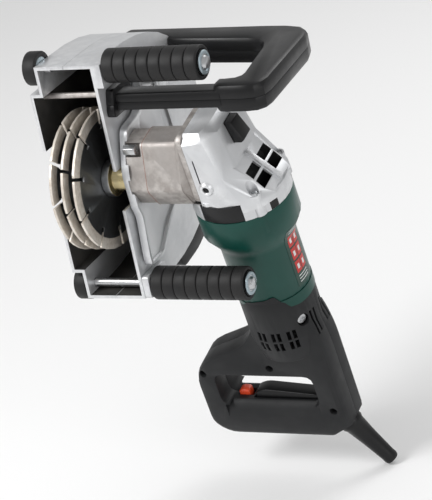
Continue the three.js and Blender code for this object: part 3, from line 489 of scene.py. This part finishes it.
def build_ring_row():
    """Equal rounded rings in a row along Z, each smaller than the last by the taper."""
    tree, given, out, identifiers = geometry_tree(
        "ring_row",
        [
            ("Count", "Int", 8),
            ("Pitch", "Float", 0.01),
            ("Radius", "Float", 0.015),
            ("Wall", "Float", 0.004),
            ("Width", "Float", 0.01),
            ("Corner", "Float", 0.001),
            ("Taper", "Float", 0.0),
            ("Sides", "Int", 56),
            ("Material", "Material", None),
        ],
    )
    half_wall = arithmetic(tree, "MULTIPLY", given.outputs["Wall"], 0.5)
    middle = arithmetic(tree, "SUBTRACT", given.outputs["Radius"], half_wall)
    path = wire(tree, node(tree, "GeometryNodeCurvePrimitiveCircle"),
                Resolution=given.outputs["Sides"], Radius=middle)
    section = wire(tree, node(tree, "GeometryNodeCurvePrimitiveQuadrilateral"),
                   Width=given.outputs["Wall"], Height=given.outputs["Width"])
    soft = wire(tree, node(tree, "GeometryNodeFilletCurve", mode="POLY"),
                Curve=section.outputs[0], Count=3, Radius=given.outputs["Corner"])
    ring = wire(tree, node(tree, "GeometryNodeCurveToMesh"),
                Curve=path.outputs[0], Profile_Curve=soft.outputs[0])
    line = wire(tree, node(tree, "GeometryNodeMeshLine", mode="OFFSET"),
                Count=given.outputs["Count"], Offset=vector_of(tree, z=given.outputs["Pitch"]))
    place_in_row = node(tree, "GeometryNodeInputIndex").outputs[0]
    taken_off = arithmetic(tree, "MULTIPLY", place_in_row, given.outputs["Taper"])
    shrink = arithmetic(tree, "SUBTRACT", 1.0, taken_off)
    copies = wire(tree, node(tree, "GeometryNodeInstanceOnPoints"), Points=line.outputs[0],
                  Instance=ring.outputs[0], Scale=vector_of(tree, shrink, shrink, 1.0))
    ending(tree, copies.outputs[0], given, out)
    return tree, identifiers


HEAD_TAPER = 0.82  # a screw head's top radius over its foot's
STAR_DEPTH = 0.62  # the recess's inner radius over its outer
RECESS_CLEARS = 2 * MM  # how far the recess's cutter stands out of the head
SHANK_START = -0.499  # the shank's middle below the seat, over its length


def build_screws():
    """One screw on each vertex of the seat, pointing along Z: bevelled head, star recess, shank."""
    tree, given, out, identifiers = geometry_tree(
        "screw_set",
        [
            ("Head Radius", "Float", 0.004),
            ("Head Height", "Float", 0.0025),
            ("Recess Radius", "Float", 0.002),
            ("Recess Depth", "Float", 0.0012),
            ("Recess Points", "Int", 6),
            ("Shank Radius", "Float", 0.002),
            ("Shank Length", "Float", 0.01),
            ("Material", "Material", None),
        ],
    )
    height = given.outputs["Head Height"]
    radius = given.outputs["Head Radius"]
    cone = wire(tree, node(tree, "GeometryNodeMeshCone"), Vertices=36, Radius_Bottom=radius,
                Radius_Top=arithmetic(tree, "MULTIPLY", radius, HEAD_TAPER), Depth=height)
    recess_floor = arithmetic(tree, "SUBTRACT", height, given.outputs["Recess Depth"])
    recess_top = arithmetic(tree, "ADD", height, RECESS_CLEARS)
    line = wire(tree, node(tree, "GeometryNodeCurvePrimitiveLine"),
                Start=vector_of(tree, z=recess_floor), End=vector_of(tree, z=recess_top))
    recess = given.outputs["Recess Radius"]
    star = wire(tree, node(tree, "GeometryNodeCurveStar"), Points=given.outputs["Recess Points"],
                Outer_Radius=recess, Inner_Radius=arithmetic(tree, "MULTIPLY", recess, STAR_DEPTH))
    cutter = wire(tree, node(tree, "GeometryNodeCurveToMesh"), Curve=line.outputs[0],
                  Profile_Curve=star.outputs[0], Fill_Caps=True)
    cut = node(tree, "GeometryNodeMeshBoolean", operation="DIFFERENCE")
    tree.links.new(cone.outputs[0], cut.inputs[0])
    tree.links.new(cutter.outputs[0], cut.inputs[1])
    length = given.outputs["Shank Length"]
    shank = wire(tree, node(tree, "GeometryNodeMeshCylinder"), Vertices=20,
                 Radius=given.outputs["Shank Radius"], Depth=length)
    drop = arithmetic(tree, "MULTIPLY", length, SHANK_START)
    sunk = wire(tree, node(tree, "GeometryNodeTransform"), Geometry=shank.outputs[0],
                Translation=vector_of(tree, z=drop))
    screw = node(tree, "GeometryNodeJoinGeometry")
    tree.links.new(cut.outputs[0], screw.inputs[0])
    tree.links.new(sunk.outputs[0], screw.inputs[0])
    copies = wire(tree, node(tree, "GeometryNodeInstanceOnPoints"), Points=given.outputs["Geometry"],
                  Instance=screw.outputs[0])
    ending(tree, copies.outputs[0], given, out)
    return tree, identifiers


RING_ROW, SCREWS = build_ring_row(), build_screws()


def facing(origin, direction):
    """A matrix that puts local Z along a direction at a point."""
    turn = Vector(direction).to_track_quat("Z", "Y").to_matrix().to_4x4()
    return Matrix.Translation(Vector(origin)) @ turn


def grown(name, built, seats, material, place, body, slot, replaced, **values):
    """Runs a geometry node tree on seat points and keeps the result as a plain mesh in its place."""
    tree, identifiers = built
    mesh = bpy.data.meshes.new(name)
    mesh.from_pydata([tuple(seat) for seat in seats], [], [])
    piece = new_piece(name, mesh)
    modifier = piece.modifiers.new("rule", "NODES")
    modifier.node_group = tree
    for label, value in values.items():
        modifier[identifiers[label.replace("_", " ")]] = value
    modifier[identifiers["Material"]] = MATERIALS[material]
    baked(piece)
    bm = bmesh.new()
    bm.from_mesh(piece.data)
    bmesh.ops.remove_doubles(bm, verts=bm.verts, dist=GROWN_WELD)
    bmesh.ops.recalc_face_normals(bm, faces=bm.faces)
    bm.to_mesh(piece.data)
    bm.free()
    piece.data.transform(place)
    smooth(piece.data)
    DONE.update(replaced)
    place_piece(piece, body, replaced, [material])


# ---------------------------------------------------------------- shapes by rule
def revolved(name, profile, place, sides=48):
    """A closed ring shape: profile points are radius and height along local Z, in millimetres.

    A radius of 0 at the first or last point closes that end with a pole."""
    bm = bmesh.new()
    rows = []
    turns = [2 * math.pi * i / sides for i in range(sides)]
    for radius, height in ((radius * MM, height * MM) for radius, height in profile):
        if radius <= 0:
            rows.append([bm.verts.new((0, 0, height))])
        else:
            rows.append([bm.verts.new((radius * math.cos(t), radius * math.sin(t), height)) for t in turns])
    loop = len(rows[0]) > 1 and len(rows[-1]) > 1
    for a, b in zip(rows, rows[1:] + ([rows[0]] if loop else [])):
        for i in range(sides):
            j = (i + 1) % sides
            corners = [a[i % len(a)], a[j % len(a)], b[j % len(b)], b[i % len(b)]]
            face = list(dict.fromkeys(corners))
            if len(face) > 2:
                bm.faces.new(face)
    bmesh.ops.recalc_face_normals(bm, faces=bm.faces)
    bm.transform(place)
    mesh = mesh_from_bmesh(name, bm)
    smooth(mesh)
    return new_piece(name, mesh)


def skin(name, surface, across_steps, down_steps, thickness):
    """A thin closed shell over a surface: surface(s, t, lift) gives a point for shares s and t."""
    bm = bmesh.new()
    layers = [
        [[bm.verts.new(surface(i / across_steps, j / down_steps, lift)) for i in range(across_steps + 1)]
         for j in range(down_steps + 1)]
        for lift in (0.0, thickness)
    ]
    for layer in layers:
        for j in range(down_steps):
            for i in range(across_steps):
                bm.faces.new([layer[j][i], layer[j][i + 1], layer[j + 1][i + 1], layer[j + 1][i]])
    low, high = layers
    rim = [(0, i) for i in range(across_steps)]
    rim += [(j, across_steps) for j in range(down_steps)]
    rim += [(down_steps, i) for i in range(across_steps, 0, -1)]
    rim += [(j, 0) for j in range(down_steps, 0, -1)]
    for (j, i), (l, k) in zip(rim, rim[1:] + rim[:1]):
        bm.faces.new([low[j][i], low[l][k], high[l][k], high[j][i]])
    bmesh.ops.recalc_face_normals(bm, faces=bm.faces)
    mesh = mesh_from_bmesh(name, bm)
    smooth(mesh)
    return new_piece(name, mesh)


# ---------------------------------------------------------------- floor, light, camera
FLOOR_HALF = 6.0
FLOOR_GAP = 1 * MM
LIGHTS = (  # name, place from the object's middle, size and power
    ("key_light", (-0.9, -1.2, 1.3), 0.8, 26),
    ("fill_light", (1.6, -1.0, 0.6), 1.2, 8),
    ("rim_light", (0.4, 1.4, 1.2), 1.0, 10),
)
VIEW_BACK = Vector((0.454, -0.804, 0.384))  # from the object to the camera
VIEW_RIGHT = Vector((0.891, 0.410, -0.195))
VIEW_TARGET = Vector((0.112, 0.020, -0.0795))
VIEW_DISTANCE = 2.2
VIEW_LENS, SENSOR_HEIGHT = 180.6, 36.0  # millimetres


def plain_floor(height):
    bm = bmesh.new()
    bmesh.ops.create_grid(bm, x_segments=1, y_segments=1, size=FLOOR_HALF)
    floor = new_piece("studio_floor", mesh_from_bmesh("studio_floor", bm))
    floor.location = (0, 0, height)
    paper = bpy.data.materials.new("pale_paper")
    paper.use_nodes = True
    shader = paper.node_tree.nodes["Principled BSDF"]
    shader.inputs["Base Color"].default_value = rgb(0.86, 0.86, 0.86)
    shader.inputs["Roughness"].default_value = 0.9
    floor.data.materials.append(paper)


def soft_light(middle):
    world = bpy.data.worlds.new("soft_studio")
    bpy.context.scene.world = world
    world.use_nodes = True
    background = world.node_tree.nodes["Background"]
    background.inputs["Color"].default_value = rgb(1.0, 1.0, 1.0)
    background.inputs["Strength"].default_value = 0.55
    for name, offset, size, power in LIGHTS:
        light = bpy.data.lights.new(name, "AREA")
        light.size, light.energy = size, power
        lamp = bpy.data.objects.new(name, light)
        lamp.location = middle + Vector(offset)
        lamp.rotation_euler = Vector(offset).to_track_quat("Z", "Y").to_euler()
        bpy.context.scene.collection.objects.link(lamp)


def viewing_camera():
    back, right = VIEW_BACK.normalized(), VIEW_RIGHT.normalized()
    up = back.cross(right).normalized()
    lens = bpy.data.cameras.new("view")
    lens.sensor_fit = "VERTICAL"
    lens.sensor_height = SENSOR_HEIGHT
    lens.lens = VIEW_LENS
    camera = bpy.data.objects.new("view", lens)
    turn = Matrix((right, up, back)).transposed().to_4x4()
    camera.matrix_world = Matrix.Translation(VIEW_TARGET + back * VIEW_DISTANCE) @ turn
    bpy.context.scene.collection.objects.link(camera)
    bpy.context.scene.camera = camera
    bpy.context.scene.view_settings.view_transform = "Standard"


def studio():
    low, high = (Vector(corner) for corner in cad_bounds)
    plain_floor(low.z - FLOOR_GAP)
    soft_light((low + high) / 2)
    viewing_camera()


# ---------------------------------------------------------------- inner works
INNER_WORKS = (
    "spindle_bearing_outer", "layshaft_bearing_outer", "layshaft_bearing_inner", "layshaft",
    "layshaft_gear", "bevel_wheel", "spindle_gear", "armature", "motor_pinion", "cooling_fan", "stator",
    "motor_bearing_front", "motor_bearing_rear",
)


def keep_mesh(cad_node, material):
    """Leaves a CAD piece as it is, with its finish on it."""
    NODES[cad_node].data.materials.clear()
    NODES[cad_node].data.materials.append(MATERIALS[material])
    DONE.add(cad_node)


def build_inner_works():
    for name in INNER_WORKS:
        keep_mesh(name, SLOT_OF[name])


# ---------------------------------------------------------------- discs
SEGMENT_BAND = 9.6 * MM  # how far the diamond segments reach in from a disc's edge
FLANGE_FACE_SHARE = 0.67  # the flange's clamping face, as a share of its length


def build_discs():
    low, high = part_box("disc_1")
    rim = (high.z - low.z) / 2 - SEGMENT_BAND
    for name in ("disc_1", "disc_2", "disc_3"):
        dress(name, DISC_ROUND, second="segment", choose=lambda c, n: math.hypot(c.y, c.z) > rim)


def build_flange():
    """The clamping face is bright steel, the neck behind it yellow."""
    low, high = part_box("arbor_flange")
    face_end = low.x + (high.x - low.x) * FLANGE_FACE_SHARE
    dress("arbor_flange", TURNED_ROUND, second="steel", choose=lambda c, n: c.x < face_end)


# ---------------------------------------------------------------- guard
CHAMBER_MIDDLE = Vector((0.025, 0.04, 0.0))
POCKET_FRONT, POCKET_REAR = 0.087, -0.081  # the wheel pockets lie beyond these heights
OUTER_PLATE = 0.002  # the guard's outer plate ends at this X
OPEN_EDGE = -0.019  # the guard's edge at the wall, which stays bright
PLATE_TURN = 0.7  # a side plate's faces turn towards X more than this
RIM_TURN = 0.3  # a rim's faces turn towards X less than this
TOWARDS_MIDDLE = 0.4  # how squarely a curved face looks at the middle


def inside_chamber(centre, normal):
    """Whether a face looks into the disc chamber or a wheel pocket, and so gets the painted shade."""
    to_middle = CHAMBER_MIDDLE - centre
    looks_in = normal.dot(Vector((0, to_middle.y, to_middle.z)))
    if not POCKET_REAR < centre.z < POCKET_FRONT:
        return abs(normal.x) < RIM_TURN and looks_in > 0 and centre.x > OUTER_PLATE
    if abs(normal.x) > PLATE_TURN:
        return normal.x * to_middle.x > 0
    return looks_in > TOWARDS_MIDDLE * to_middle.length and centre.y > OPEN_EDGE


def build_guard():
    keep_mesh("guard_tie_bar", "cast_dull")
    for name in ("guard_outer_half", "guard_inner_half"):
        # faces looking into the chamber and the wheel pockets get painted shade, near black
        dress(name, GUARD_ROUND, second="painted_chamber_shade", choose=inside_chamber)


# ---------------------------------------------------------------- rollers
RIBS = 8
RIB = {"Wall": 3.7 * MM, "Corner": 1.1 * MM}
RIB_GAP = 0.35 * MM
CAP_FLOOR = -3.0  # millimetres from the axle's end, as in the profile
CAP_PROFILE = (
    (0, -4.2), (9.8, -4.2), (10.4, -3.6), (10.4, CAP_FLOOR), (9.6, -2.4), (7.4, -2.4), (7.0, CAP_FLOOR),
    (0, CAP_FLOOR),
)
ROLLER_SCREW = {
    "Head_Radius": 6.2 * MM, "Head_Height": 2.6 * MM, "Recess_Radius": 3.9 * MM, "Recess_Depth": 1.9 * MM,
    "Recess_Points": 4, "Shank_Radius": 3.0 * MM, "Shank_Length": 0.5 * MM,
}


def build_rollers():
    axle_body = BODY_OF["front_roller_axle"]
    face_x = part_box("front_roller_axle")[1].x
    for end in ("front", "rear"):
        cover = end + "_roller_cover"
        low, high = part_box(cover)
        middle = centre_of(cover)
        pitch = (high.x - low.x) / RIBS
        grown(end + "_roller_ribs", RING_ROW, [(0, 0, 0)], "rubber",
              facing((low.x + pitch / 2, middle.y, middle.z), across), BODY_OF[cover], "rubber", [cover],
              Count=RIBS, Pitch=pitch, Radius=(high.z - low.z) / 2, Width=pitch - RIB_GAP, **RIB)
        dress(end + "_roller_core", TURNED_ROUND, material="black_plastic")
        tip = revolved(end + "_roller_cap", CAP_PROFILE, facing((face_x, middle.y, middle.z), across))
        place_piece(tip, axle_body, (), ["hub"])
        seat = facing((face_x + CAP_FLOOR * MM, middle.y, middle.z), across)
        grown(end + "_roller_screw", SCREWS, [(0, 0, 0)], "steel", seat, axle_body, "steel", (),
              **ROLLER_SCREW)


# ---------------------------------------------------------------- gear head, in motor millimetres
GRILLE_HALF = 22.6
GRILLE_ACROSS, GRILLE_END = (17, 42), 44
GRILLE_FOOT = (15, -1)  # a point on the sloped face: across and down the motor
INTO_SLOPE = (-0.725, 0.69)
BARS_DEEP = 2.6  # the grille's bars stay bright down to here
BOSS_AT = (-8, -41.6, 10)
BOSS_PROFILE = ((3.0, -1.0), (3.0, 1.6), (3.4, 2.0), (5.4, 2.0), (6.6, 0.8), (7.2, -1.0))
BOSS_HOLE_PROFILE = ((0, -0.9), (2.9, -0.9), (2.9, 0.6), (0, 0.6))
HEAD_SCREW_NODES = ("head_screw_1", "head_screw_2", "head_screw_3", "head_screw_4")
HEAD_SCREW_SEAT = 25.0
HEAD_SCREW = {
    "Head_Radius": 4.2 * MM, "Head_Height": 2.4 * MM, "Recess_Radius": 2.3 * MM, "Recess_Depth": 1.6 * MM,
    "Recess_Points": 6, "Shank_Radius": 2.0 * MM, "Shank_Length": 30 * MM,
}


def in_grille(centre, normal):
    """Whether a face is down inside the grille's windows."""
    x, n, m = in_motor(centre)
    deep = (m - GRILLE_FOOT[1]) * INTO_SLOPE[1] + (x - GRILLE_FOOT[0]) * INTO_SLOPE[0]
    inside = abs(n) < GRILLE_HALF and GRILLE_ACROSS[0] < x < GRILLE_ACROSS[1]
    return inside and deep > BARS_DEEP and m < GRILLE_END


def build_head():
    dress("gear_head", CAST_ROUND, second="shadow", choose=in_grille)
    for name in ("gear_nose", "gear_case"):
        dress(name, CAST_ROUND)
    dress("spindle_lock_button", BUTTON_ROUND, material="black_plastic")
    boss_at = facing(at_motor(BOSS_AT), -off_wall)
    boss = revolved("head_boss", BOSS_PROFILE, boss_at, 32)
    place_piece(boss, "head", (), ["cast_silver"])
    hole = revolved("head_boss_hole", BOSS_HOLE_PROFILE, boss_at, 32)
    place_piece(hole, "head", (), ["shadow"])
    seats = []
    for name in HEAD_SCREW_NODES:
        x, n, _ = in_motor(centre_of(name))
        seats.append((x * MM, n * MM, 0))
    place = MOTOR_FRAME @ Matrix.Translation((0, 0, -HEAD_SCREW_SEAT * MM))
    grown("head_screws", SCREWS, seats, "steel", place, BODY_OF["gear_head"], "steel", HEAD_SCREW_NODES,
          **HEAD_SCREW)


SEALANT_THICK = 0.28 * MM
ON_PLANE = 0.05 * MM  # a corner this near the case's front is on it
SEALANT_OUT, SEALANT_IN = 1.003, 0.93  # its outer and inner outline over the case's


def build_sealant():
    """A thin line of sealing compound where the nose meets the gear case."""
    corners = [v.co for v in NODES["gear_case"].data.vertices]
    plane = min(corner.x for corner in corners)
    rim = [Vector((corner.y, corner.z)) for corner in corners if corner.x < plane + ON_PLANE]
    outline = [rim[i] for i in geometry.convex_hull_2d(rim)]
    middle = sum(outline, Vector((0, 0))) / len(outline)
    front = plane - SEALANT_THICK
    bm = bmesh.new()
    loops = []
    for x, grow in ((plane, SEALANT_OUT), (front, SEALANT_OUT), (front, SEALANT_IN), (plane, SEALANT_IN)):
        loops.append([bm.verts.new((x, *(middle + (point - middle) * grow))) for point in outline])
    for a, b in zip(loops, loops[1:] + loops[:1]):
        for i in range(len(outline)):
            j = (i + 1) % len(outline)
            bm.faces.new([a[i], a[j], b[j], b[i]])
    bmesh.ops.recalc_face_normals(bm, faces=bm.faces)
    line = new_piece("case_sealant", mesh_from_bmesh("case_sealant", bm))
    place_piece(line, "head", (), ["sealant"])


# ---------------------------------------------------------------- motor housing, in motor millimetres
# The green moulding's lower edge: angle from the gear side towards the front, and how far down.
EDGE_WAVE = (
    (-180, 147), (-127, 147.6), (-109, 141.5), (-86, 139), (-67, 136.5), (-56, 144.5), (-45, 152.5),
    (-30, 154), (0, 154), (30, 154), (45, 152.5), (56, 144.5), (67, 136.5), (86, 139), (109, 141.5),
    (127, 147.6), (180, 147),
)
HOUSING_LINE = ((45, 45), (72, 45), (85, 37), (91, 35), (143, 35))  # distance down and outer radius
BARREL = 35.0
MOULDING_JOINT = 143.2  # where the two mouldings really meet
EDGE_LIFT, EDGE_THICK = 0.02, 0.4
EDGE_CLEAR = 0.3  # degrees left between neighbouring skins
LABEL_LIFT, BLOCK_LIFT, DOT_LIFT = 0.05, 0.19, 0.33
LABEL_THICK = 0.12
LABEL_ANGLES, LABEL_DOWNS = (-16, 24), (76, 139)
BLOCK = (11.5, 12)  # degrees round and millimetres down
BLOCK_ANGLES, BLOCK_DOWNS = (-6, 7), (86, 100, 114)
DOT_FROM, DOT_TO = (3.5, 3.5), (8, 8.5)  # within a block
LINE_ANGLES, LINE_DOWNS, LINE_WIDTH = (-4, 18), (78.5, 81.5, 129, 132, 135), 0.8
BRUSH_ANGLE, BRUSH_DOWN, BRUSH_SEAT = 35, 172, 26.6
BRUSH_CAP = {
    "Head_Radius": 5.4 * MM, "Head_Height": 5.0 * MM, "Recess_Radius": 3.6 * MM, "Recess_Depth": 1.6 * MM,
    "Recess_Points": 2, "Shank_Radius": 3.0 * MM, "Shank_Length": 1.0 * MM,
}


def wave_at(angle):
    """How far down the motor the green moulding's edge is at an angle."""
    for (a, low), (b, high) in zip(EDGE_WAVE, EDGE_WAVE[1:]):
        if a <= angle <= b:
            share = (angle - a) / (b - a)
            share = share * share * (3 - 2 * share)
            return low + (high - low) * share
    return EDGE_WAVE[0][1]


def housing_radius(m):
    """Outer radius of the green moulding down its length."""
    for (a, low), (b, high) in zip(HOUSING_LINE, HOUSING_LINE[1:]):
        if a <= m <= b:
            return low + (high - low) * (m - a) / (b - a)
    return BARREL


def barrel_point(angle, radius, m):
    turn = math.radians(angle)
    return at_motor((radius * math.cos(turn), -radius * math.sin(turn), m))


def edge_run(name, start, end, finish_name):
    """A skin between the straight joint of the mouldings and the wavy edge, on one side of it."""
    def surface(s, t, lift):
        angle = start + (end - start) * s
        m = MOULDING_JOINT + (wave_at(angle) - MOULDING_JOINT) * t
        return barrel_point(angle, BARREL + EDGE_LIFT + lift, m)

    piece = skin(name, surface, max(10, int((end - start) / 3)), 3, EDGE_THICK)
    place_piece(piece, "head", (), [finish_name])


def crossings():
    """Angles where the wavy edge crosses the straight joint."""
    found, last = [], wave_at(-180) - MOULDING_JOINT
    for step in range(1, 721):
        angle = -180 + step / 2
        value = wave_at(angle) - MOULDING_JOINT
        if (value > 0) != (last > 0):
            found.append(angle)
        last = value
    return found


def build_edge():
    marks = crossings()
    ends = marks + [marks[0] + 360]
    for i, (a, b) in enumerate(zip(ends, ends[1:])):
        parts = [(a, b)] if b <= 180 else [(a, 180), (-180, b - 360)]  # the run across the back is in two
        for k, (start, end) in enumerate(parts):
            above = wave_at((start + end) / 2) < MOULDING_JOINT
            edge_run("edge_skin_%d_%d" % (i, k), start + EDGE_CLEAR, end - EDGE_CLEAR,
                     "dark_plastic" if above else "green_plastic")


def label_patch(name, angles, downs, lift, material):
    """A thin patch on the housing, between two angles and two distances down the motor."""
    def surface(s, t, raise_by):
        m = downs[0] + (downs[1] - downs[0]) * t
        return barrel_point(angles[0] + (angles[1] - angles[0]) * s, housing_radius(m) + lift + raise_by, m)

    piece = skin(name, surface, 12, 16, LABEL_THICK)
    place_piece(piece, "head", (), [material])


def build_label():
    label_patch("rating_label", LABEL_ANGLES, LABEL_DOWNS, LABEL_LIFT, "label_dark")
    for row, m in enumerate(BLOCK_DOWNS):
        for column, angle in enumerate(BLOCK_ANGLES):
            place = "%d_%d" % (row, column)
            label_patch("label_block_" + place, (angle, angle + BLOCK[0]), (m, m + BLOCK[1]), BLOCK_LIFT,
                        "label_red")
            label_patch("label_dot_" + place, (angle + DOT_FROM[0], angle + DOT_TO[0]),
                        (m + DOT_FROM[1], m + DOT_TO[1]), DOT_LIFT, "label_white")
    for row, m in enumerate(LINE_DOWNS):
        label_patch("label_line_%d" % row, LINE_ANGLES, (m, m + LINE_WIDTH), BLOCK_LIFT, "label_white")


def build_housing():
    dress("motor_housing", MOULDING_ROUND)
    build_edge()
    build_label()
    for name, angle in (("brush_cap_front", BRUSH_ANGLE), ("brush_cap_back", -BRUSH_ANGLE)):
        spot = barrel_point(angle, BRUSH_SEAT, BRUSH_DOWN)
        outwards = barrel_point(angle, BARREL, BRUSH_DOWN) - spot
        grown(name, SCREWS, [(0, 0, 0)], "steel", facing(spot, outwards), "head", "steel", (), **BRUSH_CAP)


# ---------------------------------------------------------------- handle screws, in motor millimetres
WELLS = ((-94, 240), (-23, 231), (27, 281))  # across and down the motor
WELL_FLOOR = 12.2  # from the handle's middle plane
HANDLE_SCREW = {
    "Head_Radius": 3.5 * MM, "Head_Height": 2.4 * MM, "Recess_Radius": 2.0 * MM, "Recess_Depth": 1.5 * MM,
    "Recess_Points": 6, "Shank_Radius": 1.5 * MM, "Shank_Length": 1.0 * MM,
}


def build_handle_screws():
    for name, side in (("handle_screws_front", -1), ("handle_screws_back", 1)):
        seat = facing(at_motor((0, side * WELL_FLOOR, 0)), off_wall * side)
        seats = [seat.inverted() @ at_motor((x, side * WELL_FLOOR, m)) for x, m in WELLS]
        grown(name, SCREWS, seats, "black_plastic", seat, "head", "black_plastic", (), **HANDLE_SCREW)


# ---------------------------------------------------------------- assembly
build_inner_works()
build_discs()
build_flange()
build_guard()
build_rollers()
build_head()
build_sealant()
build_housing()
dress("cord_boot", MOULDING_ROUND)
build_handle_screws()
for hub in ("front_wheel_hub", "rear_wheel_hub"):
    dress(hub, HUB_ROUND, material="hub")
for cad_node in NODES:
    if cad_node not in DONE:
        dress(cad_node)

studio()
